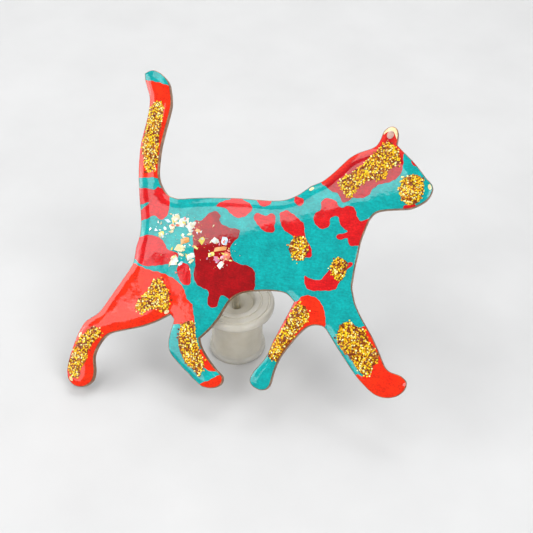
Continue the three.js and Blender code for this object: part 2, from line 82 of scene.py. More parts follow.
COPPER_TOP = 1.08  # all the bare metal that shows at the side
COPPER_BEVEL = 0.08
ENAMEL_INSET = 0.1  # bare copper left outside the enamel
EDGE_TOP = 1.1  # the enamel's height at its outer edge
DOME_TOP = 1.36
DOME_RIM = 1.5  # how far in from the edge the enamel is still rising
DOME_POWER = 2.0
SKIN = 0.05  # how deep a patch reaches below its own face
CLEAR_OF_COPPER = 0.01
PATCH_PROUD = 0.022
GLITTER_PROUD = 0.035
CHIP_PROUD = 0.04
EDGE_CATCH = 0.24  # a patch's outline this close to the cat's edge is drawn out to it
EDGE_OVERLAP = 0.012  # how far such an outline passes the enamel's own edge

OUTLINE_STEP = 0.25
PATCH_STEP = 0.2
LEAST_SPAN = 0.03  # outline points closer together than this are merged
SHARP_CORNER = 52  # degrees: corners that turn more than this stay sharp
MITRE_LIMIT = 0.3
FIELD_RINGS = (0.13, 0.21, 0.32, 0.46, 0.64, 0.86, 1.12)
FIELD_GRID = 0.42
RING_SHARE = 0.95  # a ring's points are dropped where the edge is nearer than this share of the ring's gap
GRID_MARGIN = 0.12  # left between the last ring and the grid
FILL_GAP = 0.07  # the least distance from a fill point to an outline


# ---- Flat geometry ----


def cap_loop(name):
    """The outline of a flat node's front face, anticlockwise, as points across and up the plate."""
    points = node_points(name)
    seen = {}
    ids = [seen.setdefault(tuple(p), len(seen)) for p in np.round(points, 3)]
    place = dict(zip(ids, points))
    front = points[:, 2].max() - 0.01
    edges = set()
    for face in frame["nodes"][name].data.polygons:
        corners = [ids[v] for v in face.vertices]
        if min(place[c][2] for c in corners) > front:
            edges.update(zip(corners, corners[1:] + corners[:1]))
    follow = {a: b for a, b in edges if (b, a) not in edges}
    first = min(follow)
    loop = [first]
    while follow[loop[-1]] != first:
        loop.append(follow[loop[-1]])
    return np.array([place[i][:2] for i in loop])


def smooth(loop, step):
    """The loop resampled on a smooth curve through its points, keeping its sharp corners."""
    far = np.linalg.norm(loop - np.roll(loop, 1, axis=0), axis=1) > LEAST_SPAN
    loop = loop[far]
    n = len(loop)
    before, after = np.roll(loop, 1, axis=0), np.roll(loop, -1, axis=0)
    a, b = loop - before, after - loop
    turn = np.abs(np.arctan2(a[:, 0] * b[:, 1] - a[:, 1] * b[:, 0], (a * b).sum(1)))
    sharp = turn > math.radians(SHARP_CORNER)
    made = []
    for i in range(n):
        j = (i + 1) % n
        p, q = loop[i], loop[j]
        span = np.linalg.norm(q - p)
        behind, ahead = np.linalg.norm(a[i]), np.linalg.norm(b[j])
        start = q - p if sharp[i] else (q - loop[i - 1]) * span / (span + behind)
        end = q - p if sharp[j] else (loop[(j + 1) % n] - p) * span / (span + ahead)
        steps = max(1, math.ceil(span / step))
        for t in np.arange(steps) / steps:
            made.append(
                (2 * t**3 - 3 * t**2 + 1) * p
                + (t**3 - 2 * t**2 + t) * start
                + (3 * t**2 - 2 * t**3) * q
                + (t**3 - t**2) * end
            )
    return np.array(made)


def nearest_on(loop, points):
    """The distance from each point to a closed loop, and the closest place on the loop."""
    a = loop
    along = np.roll(loop, -1, axis=0) - a
    length2 = (along**2).sum(1)
    gaps, places = [], []
    for part in np.array_split(points, max(1, len(points) // 400)):
        t = ((part[:, None] - a) * along).sum(2) / length2
        place = a + np.clip(t, 0, 1)[..., None] * along
        gap = np.linalg.norm(part[:, None] - place, axis=2)
        best = gap.argmin(1)
        rows = np.arange(len(part))
        gaps.append(gap[rows, best])
        places.append(place[rows, best])
    return np.concatenate(gaps), np.concatenate(places)


def inside(loop, points):
    """Whether each point is inside a closed loop."""
    x, y = points[:, :1], points[:, 1:]
    x0, y0 = loop[:, 0], loop[:, 1]
    x1, y1 = np.roll(x0, -1), np.roll(y0, -1)
    spans = (y0 > y) != (y1 > y)
    with np.errstate(divide="ignore", invalid="ignore"):
        crosses = x < x0 + (y - y0) * (x1 - x0) / (y1 - y0)
    return (spans & crosses).sum(1) % 2 == 1


def inwards(loop):
    """Mitred unit steps into an anticlockwise loop."""
    a = loop - np.roll(loop, 1, axis=0)
    b = np.roll(loop, -1, axis=0) - loop
    a /= np.linalg.norm(a, axis=1, keepdims=True)
    b /= np.linalg.norm(b, axis=1, keepdims=True)
    step = np.stack([-(a + b)[:, 1], (a + b)[:, 0]], axis=1)
    return step / np.maximum(1 + (a * b).sum(1, keepdims=True), MITRE_LIMIT)


RIM = smooth(cap_loop("copper_plate"), OUTLINE_STEP)
RIM_TREE = KDTree(len(RIM))
for index, (x, y) in enumerate(RIM):
    RIM_TREE.insert((x, y, 0), index)
RIM_TREE.balance()


def edge_gap(points):
    """The distance from each point to the cat's edge, and the closest place on it."""
    near = np.array([RIM_TREE.find((x, y, 0))[1] for x, y in points])
    gaps, places = [], []
    for first in (near - 1, near):
        a = RIM[first % len(RIM)]
        along = RIM[(first + 1) % len(RIM)] - a
        t = ((points - a) * along).sum(1) / (along**2).sum(1)
        places.append(a + np.clip(t, 0, 1)[:, None] * along)
        gaps.append(np.linalg.norm(points - places[-1], axis=1))
    closer = gaps[1] < gaps[0]
    return np.where(closer, gaps[1], gaps[0]), np.where(closer[:, None], places[1], places[0])


def field():
    """Points all over the cat: rings that follow its edge, then an even grid in the middle."""
    made = []
    for gap in FIELD_RINGS:
        ring = RIM + inwards(RIM) * gap
        far, _ = edge_gap(ring)
        made.append(ring[(far > RING_SHARE * gap) & inside(RIM, ring)])
    low, high = RIM.min(0), RIM.max(0)
    xs = np.arange(low[0], high[0], FIELD_GRID)
    ys = np.arange(low[1], high[1], FIELD_GRID * math.sqrt(3) / 2)
    x, y = np.meshgrid(xs, ys)
    x = x + (np.arange(len(ys)) % 2)[:, None] * FIELD_GRID / 2
    grid = np.stack([x.ravel(), y.ravel()], axis=1)
    grid = grid[inside(RIM, grid)]
    far, _ = edge_gap(grid)
    made.append(grid[far > FIELD_RINGS[-1] + GRID_MARGIN])
    return np.concatenate(made)


def dome(points):
    """The height of the enamel's surface: quick to rise at the edge, with faint ripples further in."""
    gap, _ = edge_gap(points)
    t = np.clip((gap - ENAMEL_INSET) / DOME_RIM, 0, 1)
    rise = 1 - (1 - t) ** DOME_POWER
    x, y = points[:, 0], points[:, 1]
    ripple = (
        0.012 * np.sin(0.62 * x + 0.35 * y + 1.3)
        + 0.009 * np.sin(-0.41 * x + 0.83 * y + 0.4)
        + 0.004 * np.sin(1.7 * x + 1.1 * y)
    )
    return EDGE_TOP + (DOME_TOP - EDGE_TOP + ripple) * rise


FIELD = field()
SLOTS = {s["node"]: s["material_slot"] for s in frame["record"]["subparts"]}

# ---- Solids ----


def piece(mesh, places, material, body, nodes, sharp, attributes=None):
    """Smooths a mesh, gives it its texture places, tints and material, and puts it in the scene."""
    mesh.polygons.foreach_set("use_smooth", [True] * len(mesh.polygons))
    mesh.set_sharp_from_angle(angle=math.radians(sharp))
    place = mesh.attributes.new("plate", "FLOAT_VECTOR", "POINT")
    place.data.foreach_set("vector", np.asarray(places, float).ravel())
    for key, values in (attributes or {}).items():
        values = np.asarray(values, float)
        if values.ndim == 1:
            mesh.attributes.new(key, "FLOAT", "POINT").data.foreach_set("value", values)
        else:
            tint = mesh.attributes.new(key, "FLOAT_COLOR", "POINT")
            tint.data.foreach_set("color", np.c_[values, np.ones(len(values))].ravel())
    mesh.materials.append(material)
    mesh.update()
    obj = bpy.data.objects.new(mesh.name, mesh)
    bpy.context.scene.collection.objects.link(obj)
    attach(obj, body)
    for node in nodes:
        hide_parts(node)
    return obj


def make(name, points, faces, material, body, nodes=(), attributes=None, sharp=38):
    """A piece from points in plate coordinates, standing for the CAD nodes that are named."""
    mesh = bpy.data.meshes.new(name)
    mesh.from_pydata(to_row(points).tolist(), [], [list(map(int, f)) for f in faces])
    return piece(mesh, points, material, body, nodes, sharp, attributes)


def triangulated(outline, fill):
    """Triangles inside an outline, through the fill points too.

    Returns the points, the faces, the pairs along the edge and each point's place in the outline."""
    gap, _ = nearest_on(outline, fill) if len(fill) else (np.zeros(0), None)
    fill = fill[inside(outline, fill) & (gap > FILL_GAP)] if len(fill) else fill
    points = [Vector(p) for p in np.vstack([outline, fill])]
    loop = [list(range(len(outline)))]
    points, _, faces, origins, *_ = delaunay_2d_cdt(points, [], loop, 1, 1e-5)
    points = np.array([p[:] for p in points])
    made = []
    for a, b, c in faces:
        ab, ac = points[b] - points[a], points[c] - points[a]
        made.append((a, b, c) if ab[0] * ac[1] - ab[1] * ac[0] > 0 else (a, c, b))
    edges = {(f[k], f[(k + 1) % 3]) for f in made for k in range(3)}
    rim = [e for e in sorted(edges) if e[::-1] not in edges]
    return points, made, rim, [min(o) if o else None for o in origins]


def shell(outline, top, floor, fill=FIELD):
    """A closed solid between two surfaces over an outline, each given as heights for points."""
    flat, faces, rim, _ = triangulated(outline, fill)
    n = len(flat)
    points = np.vstack([np.c_[flat, top(flat)], np.c_[flat, floor(flat)]])
    solid = [*faces, *[(c + n, b + n, a + n) for a, b, c in faces]]
    solid += [(a, a + n, b + n, b) for a, b in rim]
    return points, solid


def pushed_out(outline):
    """The outline with whatever runs along the cat's edge drawn out to the enamel's own edge."""
    gap, place = edge_gap(outline)
    step = (outline - place) / np.maximum(gap, 1e-6)[:, None]
    edge = place + step * (ENAMEL_INSET - EDGE_OVERLAP)
    return np.where((gap < EDGE_CATCH)[:, None], edge, outline)


def patch_outline(node):
    """A node's outline with the slight waver of a hand-laid edge."""
    outline = smooth(cap_loop(node), PATCH_STEP)
    x, y = outline.T
    waver = 0.035 * np.sin(5.1 * x + 3.3 * y) + 0.03 * np.sin(6.1 * y - 4.3 * x + 1)
    return pushed_out(outline + inwards(outline) * waver[:, None])


def skin(outline, proud):
    """A thin closed solid on the dome, whose face stands proud of it."""
    return shell(
        outline,
        lambda p: dome(p) + proud,
        lambda p: np.maximum(dome(p) + proud - SKIN, COPPER_TOP + CLEAR_OF_COPPER),
    )


def patch(node, material):
    """A painted patch, marked thin from the cat's edge until about a millimetre further in."""
    points, faces = skin(patch_outline(node), PATCH_PROUD)
    gap, _ = edge_gap(points[:, :2])
    thin = np.clip(1.5 - gap / 0.7, 0, 1)
    return make(node + "_enamel", points, faces, material, "pin", [node], {"thin": thin})


# ---- Materials ----


def srgb(code):
    """A #rrggbb colour in linear light."""
    c = np.array([int(code[i : i + 2], 16) for i in (1, 3, 5)]) / 255
    return tuple(np.where(c <= 0.04045, c / 12.92, ((c + 0.055) / 1.055) ** 2.4)) + (1.0,)


class Look:
    """A node material being put together."""

    def __init__(self, name):
        self.material = bpy.data.materials.new(name)
        self.material.use_nodes = True
        self.tree = self.material.node_tree
        self.shader = self.tree.nodes["Principled BSDF"]

    def node(self, kind, **settings):
        made = self.tree.nodes.new(kind)
        for key, value in settings.items():
            setattr(made, key, value)
        return made

    def link(self, source, target):
        self.tree.links.new(source, target)

    def set(self, **sockets):
        for key, value in sockets.items():
            self.shader.inputs[key.replace("_", " ")].default_value = value

    def place(self, scale=(1, 1, 1)):
        """Plate coordinates in millimetres, stretched."""
        source = self.node("ShaderNodeAttribute", attribute_name="plate")
        mapping = self.node("ShaderNodeMapping")
        mapping.inputs["Scale"].default_value = scale
        self.link(source.outputs["Vector"], mapping.inputs["Vector"])
        return mapping.outputs["Vector"]

    def object_place(self):
        """Metres in the row frame, for pieces with no plate coordinates."""
        return self.node("ShaderNodeTexCoord").outputs["Object"]

    def noise(self, scale, detail=2.0, rough=0.5, place=None):
        made = self.node("ShaderNodeTexNoise")
        made.inputs["Scale"].default_value = scale
        made.inputs["Detail"].default_value = detail
        made.inputs["Roughness"].default_value = rough
        self.link(place or self.place(), made.inputs["Vector"])
        return made.outputs["Fac"]

    def ramp(self, factor, *stops):
        made = self.node("ShaderNodeValToRGB")
        ramp = made.color_ramp
        while len(ramp.elements) < len(stops):
            ramp.elements.new(0.5)
        for element, (at, colour) in zip(ramp.elements, stops):
            element.position = at
            element.color = colour
        self.link(factor, made.inputs["Fac"])
        return made.outputs["Color"]

    def mix(self, factor, a, b, blend="MIX"):
        made = self.node("ShaderNodeMix", data_type="RGBA", blend_type=blend)
        for socket, value in ((0, factor), (6, a), (7, b)):
            if isinstance(value, bpy.types.NodeSocket):
                self.link(value, made.inputs[socket])
            else:
                made.inputs[socket].default_value = value
        return made.outputs[2]

    def bump(self, height, distance, strength=1.0, socket="Normal"):
        made = self.node("ShaderNodeBump")
        made.inputs["Distance"].default_value = distance
        made.inputs["Strength"].default_value = strength
        self.link(height, made.inputs["Height"])
        self.link(made.outputs["Normal"], self.shader.inputs[socket])


def grey(value):
    return (value, value, value, 1.0)


def enamel(name, light, deep, edge=None):
    """Glossy painted enamel: clouded, finely brushed and under a hard coat.

    Where a patch is thin along the cat's edge, the edge colour shows if one is given."""
    look = Look(name)
    clouds = look.noise(0.55, 3)
    brushed = look.noise(1.0, 4, 0.7, look.place((1.1, 6.5, 1)))
    colour = look.ramp(clouds, (0.3, srgb(deep)), (0.7, srgb(light)))
    if edge:
        thin = look.node("ShaderNodeAttribute", attribute_name="thin").outputs["Fac"]
        colour = look.mix(thin, colour, srgb(edge))
    strokes = look.ramp(brushed, (0.32, grey(0.78)), (0.68, grey(1.08)))
    grains = look.ramp(look.noise(3.4, 2), (0.35, grey(0.84)), (0.65, grey(1.08)))
    strokes = look.mix(1.0, strokes, grains, "MULTIPLY")
    look.link(look.mix(1.0, colour, strokes, "MULTIPLY"), look.shader.inputs["Base Color"])
    look.set(Roughness=0.6, Specular_IOR_Level=0.04, Coat_Weight=1.0, Coat_Roughness=0.05)
    look.bump(look.noise(0.8, 2), 0.00002, 0.6, "Coat Normal")
    return look.material


def copper():
    """Brown oxidised copper, with saw marks down its sides."""
    look = Look("oxidised_copper")
    tarnish = look.noise(1.3, 5, 0.6)
    sawn = look.noise(1.0, 4, 0.6, look.place((5, 5, 0.8)))
    colour = look.ramp(
        tarnish, (0.3, srgb("#6e4e3a")), (0.5, srgb("#966c4e")), (0.72, srgb("#be9470"))
    )
    strokes = look.ramp(sawn, (0.25, grey(0.7)), (0.75, grey(1.2)))
    look.link(look.mix(1.0, colour, strokes, "MULTIPLY"), look.shader.inputs["Base Color"])
    look.set(Metallic=0.6, Roughness=0.38)
    look.bump(sawn, 0.00003)
    return look.material


def glitter():
    """Loose metal flakes, each with its own tint, over a dark amber bed. The palest tint is a painted
    highlight, for flakes that catch the light.
    """
    look = Look("gold_glitter")
    tint = look.node("ShaderNodeAttribute", attribute_name="tint").outputs["Fac"]
    colour = look.ramp(
        tint,
        (0.0, srgb("#9a4c00")),
        (0.12, srgb("#7c2e00")),
        (0.3, srgb("#c87600")),
        (0.6, srgb("#fcbc00")),
        (0.8, srgb("#ffe01c")),
        # the palest tint: a painted highlight on the flakes that get it
        (1.0, srgb("#fff6a0")),
    )
    grain = look.ramp(look.noise(6, 2), (0.3, grey(0.8)), (0.7, grey(1.1)))
    look.link(look.mix(1.0, colour, grain, "MULTIPLY"), look.shader.inputs["Base Color"])
    look.set(Metallic=0.1, Roughness=0.32, Specular_IOR_Level=0.3, Coat_Weight=0.25, Coat_Roughness=0.1)
    return look.material


def opal():
    """Iridescent chips, each with its own tint."""
    look = Look("opal_chip")
    tint = look.node("ShaderNodeAttribute", attribute_name="tint").outputs["Color"]
    play = look.ramp(
        look.noise(1.6, 3, 0.6),
        (0.3, srgb("#fff2c0")),
        (0.45, srgb("#ffffff")),
        (0.6, srgb("#e2f6ff")),
        (0.75, srgb("#ffd9c8")),
    )
    look.link(look.mix(0.8, tint, play, "MULTIPLY"), look.shader.inputs["Base Color"])
    look.set(Metallic=0.1, Roughness=0.2, Coat_Weight=1.0, Coat_Roughness=0.04)
    look.bump(look.noise(3, 2), 0.00002, 0.5)
    return look.material


def silicone():
    """Milky translucent silicone rubber."""
    look = Look("clutch_silicone")
    haze = look.noise(0.35, 3, 0.6)
    colour = look.ramp(haze, (0.3, srgb("#e6dfce")), (0.7, srgb("#f4eee0")))
    look.link(colour, look.shader.inputs["Base Color"])
    look.set(Roughness=0.24, Transmission_Weight=0.35, IOR=1.41, Subsurface_Weight=0.8)
    look.shader.inputs["Subsurface Radius"].default_value = (1, 0.95, 0.85)
    look.shader.inputs["Subsurface Scale"].default_value = 0.004
    look.bump(look.noise(2.5, 2), 0.00002, 0.5)
    return look.material


def metal(name, dark, light, roughness):
    """A clouded metal for the small pieces behind the plate."""
    look = Look(name)
    colour = look.ramp(look.noise(900, 3, place=look.object_place()), (0.3, dark), (0.7, light))
    look.link(colour, look.shader.inputs["Base Color"])
    look.set(Metallic=0.95, Roughness=roughness)
    return look.material


TURQUOISE = enamel("turquoise_enamel", "#00b6b4", "#00a2a2")
ORANGE_RED = enamel("orange_red_enamel", "#ff340a", "#f42604")
RED = enamel("red_enamel", "#e81a1e", "#d60c14")
CORAL = enamel("coral_enamel", "#ec3436", "#e0282c")
CRIMSON = enamel("crimson_enamel", "#b8000e", "#9a0008")
HEAD_RED = enamel("head_enamel", "#cc0c1a", "#ae000e", "#ee3428")
# pale cream for painted highlights: the ear's tip and the glints where the rounded edge catches the light
PALE_HIGHLIGHT = enamel("painted_highlight_cream", "#fff4cc", "#ffe9a4")
# grey-pink for the dot inside the ear's tip, a painted reflection
EAR_REFLECTION = enamel("ear_dot_painted_reflection", "#d8b0a4", "#c09488")
BACK_ENAMEL = enamel("counter_enamel", "#39464a", "#1b2225")
COPPER = copper()
GLITTER = glitter()
OPAL = opal()
SILICONE = silicone()
POST_METAL = metal("plated_post", srgb("#b4b0a2"), srgb("#e6e2d6"), 0.28)
PAD_METAL = metal("pad_steel", srgb("#8d8f8e"), srgb("#c4c6c4"), 0.35)
SOLDER = metal("dull_solder", srgb("#6c6c68"), srgb("#a2a29c"), 0.5)

# ---- The copper plate and its enamels ----


def copper_plate():
    """A slab with a small bevel along both edges."""
    inner = RIM + inwards(RIM) * COPPER_BEVEL
    points, faces, rim, at = triangulated(inner, FIELD[::6])
    n, m = len(points), len(RIM)
    solid = np.vstack(
        [
            np.c_[points, np.full(n, COPPER_TOP)],
            np.c_[points, np.zeros(n)],
            np.c_[RIM, np.full(m, COPPER_TOP - COPPER_BEVEL)],
            np.c_[RIM, np.full(m, COPPER_BEVEL)],
        ]
    )
    made = [*faces, *[(c + n, b + n, a + n) for a, b, c in faces]]
    for a, b in rim:
        u, v = at[a] + 2 * n, at[b] + 2 * n
        made += [(a, u, v, b), (u, u + m, v + m, v), (u + m, a + n, b + n, v + m)]
    return make("copper_body", solid, made, COPPER, "pin", ["copper_plate"], sharp=30)


def flat_at(height):
    """A level surface, for shell()."""
    return lambda p: np.full(len(p), height)


copper_plate()

ground, ground_faces = shell(RIM + inwards(RIM) * ENAMEL_INSET, dome, flat_at(COPPER_TOP))
make(
    "turquoise_dome",
    ground,
    ground_faces,
    TURQUOISE,
    "pin",
    ["turquoise_ground", "clear_glaze"],
)


BACK_INSET = 0.5
BACK_ROUNDING = 0.5  # how far in from its edge the back coat is still thickening
BACK_EDGE = 0.04
BACK_SWELL = 0.1  # what the middle adds to the edge's thickness


def back_coat():
    """Counter enamel, rounded off at its edge."""
    edge = RIM + inwards(RIM) * BACK_INSET

    def depth(points):
        gap, _ = nearest_on(edge, points)
        return -BACK_EDGE - BACK_SWELL * (1 - (1 - np.clip(gap / BACK_ROUNDING, 0, 1)) ** 2)

    points, faces = shell(edge, flat_at(0.0), depth)
    return make("back_coat", points, faces, BACK_ENAMEL, "pin", ["counter_enamel"])


back_coat()

for node, look in (
    ("tail_red", ORANGE_RED),
    ("hind_leg_red", ORANGE_RED),
    ("front_near_leg_red", ORANGE_RED),
    ("front_far_leg_red", ORANGE_RED),
    ("rear_far_paw_red", ORANGE_RED),
    ("rear_far_toe_red", ORANGE_RED),
    ("tail_base_red", RED),
    ("rump_red", RED),
    ("hip_small_red", RED),
    ("flank_heart_red", RED),
    ("flank_drop_red", RED),
    ("neck_red", RED),
    ("brow_red", RED),
    ("jaw_red", RED),
    ("chest_crescent_red", RED),
    ("back_coral", CORAL),
    ("back_small_coral", CORAL),
    ("shoulder_dot_coral", CORAL),
    ("crimson_patch", CRIMSON),
    ("head_crimson", HEAD_RED),
):
    patch(node, look)

# ---- Painted highlights: the ear's pale tip with a painted reflection inside it, and pale glints along the edge ----


FINE_GRID = 0.13
RAISED_SKIN = 0.06
OVAL_SIDES = 20


def raised(name, outline, material, lift):
    """A small touch of colour over the patches, on a grid fine enough to follow the dome; here the painted
    highlights and the painted reflection.
    """
    low, high = outline.min(0), outline.max(0)
    xs, ys = np.arange(low[0], high[0], FINE_GRID), np.arange(low[1], high[1], FINE_GRID)
    x, y = np.meshgrid(xs, ys)
    fill = np.stack([x.ravel(), y.ravel()], axis=1)
    points, faces = shell(
        outline, lambda p: dome(p) + lift, lambda p: dome(p) + lift - RAISED_SKIN, fill
    )
    return make(name, points, faces, material, "pin")


def oval(middle, across, up, turn):
    """An oval outline with the given half widths."""
    ring = np.arange(OVAL_SIDES) * 2 * math.pi / OVAL_SIDES
    flat = np.c_[np.cos(ring) * across, np.sin(ring) * up]
    c, s = math.cos(turn), math.sin(turn)
    return np.array(middle) + flat @ np.array([[c, s], [-s, c]])


HEAD_SIDE = np.flatnonzero(RIM[:, 0] > 8)
EAR_AT = HEAD_SIDE[RIM[HEAD_SIDE, 1].argmax()]
EAR_TIP = RIM[EAR_AT]
EAR_REACH = 2.1  # the painted highlight's half length around the ear's tip
EAR_BAND = 0.62  # the band's width at the tip
EAR_OUTER = 0.12  # from the cat's edge to the band's outer side
EAR_END = 0.02  # the width that its ends keep
EAR_STEPS = 12  # outline points looked at on each side of the tip


def ear_highlight():
    """A pale crescent around the ear's tip: a painted highlight on its rounded rim."""
    order = (EAR_AT + np.arange(-EAR_STEPS, EAR_STEPS + 1)) % len(RIM)
    far = np.linalg.norm(RIM[order] - EAR_TIP, axis=1) / EAR_REACH
    order, far = order[far < 0.98], far[far < 0.98]
    step = inwards(RIM)[order]
    outer = RIM[order] + step * EAR_OUTER
    inner = RIM[order] + step * (EAR_OUTER + EAR_END + EAR_BAND * (1 - far**2))[:, None]
    raised("ear_tip_highlight", np.vstack([outer, inner[::-1]]), PALE_HIGHLIGHT, 0.05)


HIGHLIGHT_INSET = 0.44
HIGHLIGHT_SIZE = (0.42, 0.24)


def highlight_oval(spot):
    """A painted highlight: an oval of pale colour that lies along the cat's edge, as close as can be to a
    spot, where the rounded rim catches the light.
    """
    at = np.linalg.norm(RIM - spot, axis=1).argmin()
    along = RIM[(at + 1) % len(RIM)] - RIM[at - 1]
    middle = RIM[at] + inwards(RIM)[at] * HIGHLIGHT_INSET
    return oval(middle, *HIGHLIGHT_SIZE, math.atan2(along[1], along[0]))


# places along the edge where the rounded rim catches the light, painted as pale highlights
HIGHLIGHT_SPOTS = {
    "nape": (8.2, 25.6),
    "nose": (25.6, 29.1),
    "hip": (-8.2, 2.0),
    "heel": (-21.4, -4.2),
    "paw_side": (-22.1, -7.7),
    "paw_end": (-21.1, -11.3),
}
ear_highlight()
for place, spot in HIGHLIGHT_SPOTS.items():
    raised("painted_highlight_" + place, highlight_oval(spot), PALE_HIGHLIGHT, 0.04)
# a painted reflection: a grey-pink dot just inside the ear's tip
raised("ear_tip_dot", oval(EAR_TIP + [-0.12, -1.35], 0.5, 0.62, -0.2), EAR_REFLECTION, 0.06)

# ---- Glitter and chips ----


# flake tints drawn at random; the top one is a painted highlight
GRAIN_TINTS = (0.3, 0.6, 0.8, 1.0)
GRAIN_SHARES = (0.16, 0.34, 0.3, 0.2)
DARK_TINT = 0.12
GRAIN_STEP = 0.22
GRAIN_RADIUS = (0.1, 0.17)
GRAIN_THICK = 0.02
GRAIN_LIFT = (0.02, 0.06)
GRAIN_TILT = 0.2
GRAIN_COVER = 0.92  # the share of spots inside an outline that hold a grain
STRAY_COVER = 0.22  # the share just outside it, which falls to none over the stray reach
STRAY_REACH = 0.4
STRAY_GRID = 0.6
GRAIN_MARGIN = 0.2  # kept clear along the cat's edge


def flake(centre, radius, sides, thick, tilt, spin):
    """A thin tilted prism: its points, and its faces counted from zero."""
    turn = np.arange(sides) * 2 * math.pi / sides + spin
    ring = np.c_[np.cos(turn), np.sin(turn)] * radius
    lean = ring @ tilt
    top = np.c_[ring, lean + thick / 2] + centre
    under = np.c_[ring, lean - thick / 2] + centre
    k = sides
    faces = [tuple(range(k)), tuple(range(2 * k - 1, k - 1, -1))]
    faces += [(i, i + k, (i + 1) % k + k, (i + 1) % k) for i in range(k)]
    return np.vstack([top, under]), faces


def glitter_patch(node, seed):
    """A bed with the node's outline, and flakes strewn over it and a little past its edge."""
    rng = np.random.default_rng(seed)
    outline = patch_outline(node)
    points, faces = skin(outline, GLITTER_PROUD)
    all_points, all_faces = [points], list(faces)
    tint = [np.zeros(len(points))]
    low, high = outline.min(0) - STRAY_GRID, outline.max(0) + STRAY_GRID
    xs, ys = np.arange(low[0], high[0], GRAIN_STEP), np.arange(low[1], high[1], GRAIN_STEP)
    x, y = np.meshgrid(xs, ys)
    spots = np.stack([x.ravel(), y.ravel()], axis=1)
    spots += rng.uniform(-0.5, 0.5, spots.shape) * GRAIN_STEP
    gap, _ = nearest_on(outline, spots)
    within = inside(outline, spots)
    edge, _ = edge_gap(spots)
    chance = np.where(within, GRAIN_COVER, STRAY_COVER * np.clip(1 - gap / STRAY_REACH, 0, 1))
    kept = (rng.random(len(spots)) < chance) & (edge > GRAIN_MARGIN) & inside(RIM, spots)
    spots = spots[kept]
    heights = dome(spots) + GLITTER_PROUD + rng.uniform(*GRAIN_LIFT, len(spots))
    count = len(points)
    for spot, height in zip(spots, heights):
        tilt = rng.normal(0, GRAIN_TILT, 2)
        sides = int(rng.integers(4, 7))
        radius = rng.uniform(*GRAIN_RADIUS)
        made, loops = flake((*spot, height), radius, sides, GRAIN_THICK, tilt, rng.uniform(0, 6.3))
        all_points.append(made)
        all_faces += [tuple(i + count for i in loop) for loop in loops]
        # darker and brighter drifts, a few millimetres across
        shade = math.sin(1.3 * spot[0] + 0.8 * spot[1] + seed) * math.sin(1.1 * spot[1] - 0.7 * spot[0])
        dark = rng.random() < 0.2 + 0.2 * shade
        tone = DARK_TINT if dark else rng.choice(GRAIN_TINTS, p=GRAIN_SHARES)
        tint.append(np.full(len(made), tone))
        count += len(made)
    make(
        node + "_flakes",
        np.vstack(all_points),
        all_faces,
        GLITTER,
        "pin",
        [node],
        {"tint": np.concatenate(tint)},
    )


GOLD_NODES = sorted(n for n in frame["nodes"] if n.endswith("_gold"))
for number, node in enumerate(GOLD_NODES):
    glitter_patch(node, 40 + number)

CHIP_TINTS = {
    "cream": "#f2e0b0",
    "white": "#f0eee4",
    "yellow": "#f6e26a",
    "orange": "#f2a860",
    "blue": "#d8ecff",
    "coral": "#f2806a",
    "pink": "#ee90b0",
}


def chip(outline, lift, thick, tilt):
    """A thin tilted shard: points and faces."""
    middle = outline.mean(0)
    height = dome(middle[None])[0] + lift
    lean = (outline - middle) @ tilt
    inner = middle + (outline - middle) * 0.9
    k = len(outline)
    points = np.vstack(
        [
            np.c_[inner, (inner - middle) @ tilt + height + thick],
            np.c_[outline, lean + height + thick * 0.6],
            np.c_[outline, lean + height],
        ]
    )
    faces = [tuple(range(k)), tuple(range(3 * k - 1, 2 * k - 1, -1))]
    for low in (0, k):
        faces += [(i + low, i + low + k, (i + 1) % k + low + k, (i + 1) % k + low) for i in range(k)]
    return points, faces


CHIP_RNG = np.random.default_rng(12)
CHIP_MIDDLES = []
CHIP_GROWTH = 1.2  # a chip's outline against its CAD node's
CHIP_THICK = 0.05
SHARD_THICK = 0.03
for node in sorted(n for n in frame["nodes"] if n.startswith("opal_flake")):
    outline = cap_loop(node)
    outline = outline.mean(0) + (outline - outline.mean(0)) * CHIP_GROWTH
    CHIP_MIDDLES.append(outline.mean(0))
    points, faces = chip(outline, CHIP_PROUD, CHIP_THICK, CHIP_RNG.normal(0, 0.09, 2))
    colour = srgb(CHIP_TINTS[SLOTS[node].removeprefix("flake_")])[:3]
    make(
        node + "_chip",
        points,
        faces,
        OPAL,
        "pin",
        [node],
        {"tint": np.tile(colour, (len(points), 1))},
        sharp=25,
    )


def shards(name, count, middles, spread, size, tints):
    """Slivers and crumbs of the same chips, strewn around the given places."""
    points, faces, colours = [], [], []
    total = 0
    for _ in range(count):
        spot = middles[CHIP_RNG.integers(len(middles))] + CHIP_RNG.normal(0, spread, 2)
        sides = int(CHIP_RNG.integers(3, 6))
        ring = np.arange(sides) * 2 * math.pi / sides + CHIP_RNG.uniform(-0.4, 0.4, sides)
        flat = np.c_[np.cos(ring) * CHIP_RNG.uniform(1, 1.7), np.sin(ring) * CHIP_RNG.uniform(0.5, 0.9)]
        a = CHIP_RNG.uniform(0, math.pi)
        turn = np.array([[math.cos(a), math.sin(a)], [-math.sin(a), math.cos(a)]])
        outline = spot + flat @ turn * CHIP_RNG.uniform(*size)
        lift = CHIP_PROUD + CHIP_RNG.uniform(-0.01, 0.06)
        made, loops = chip(outline, lift, SHARD_THICK, CHIP_RNG.normal(0, 0.12, 2))
        points.append(made)
        faces += [tuple(i + total for i in loop) for loop in loops]
        colour = srgb(CHIP_TINTS[tints[CHIP_RNG.integers(len(tints))]])[:3]
        colours.append(np.tile(colour, (len(made), 1)))
        total += len(made)
    tint = {"tint": np.vstack(colours)}
    made = make(name, np.vstack(points), faces, OPAL, "pin", attributes=tint, sharp=25)
    return made


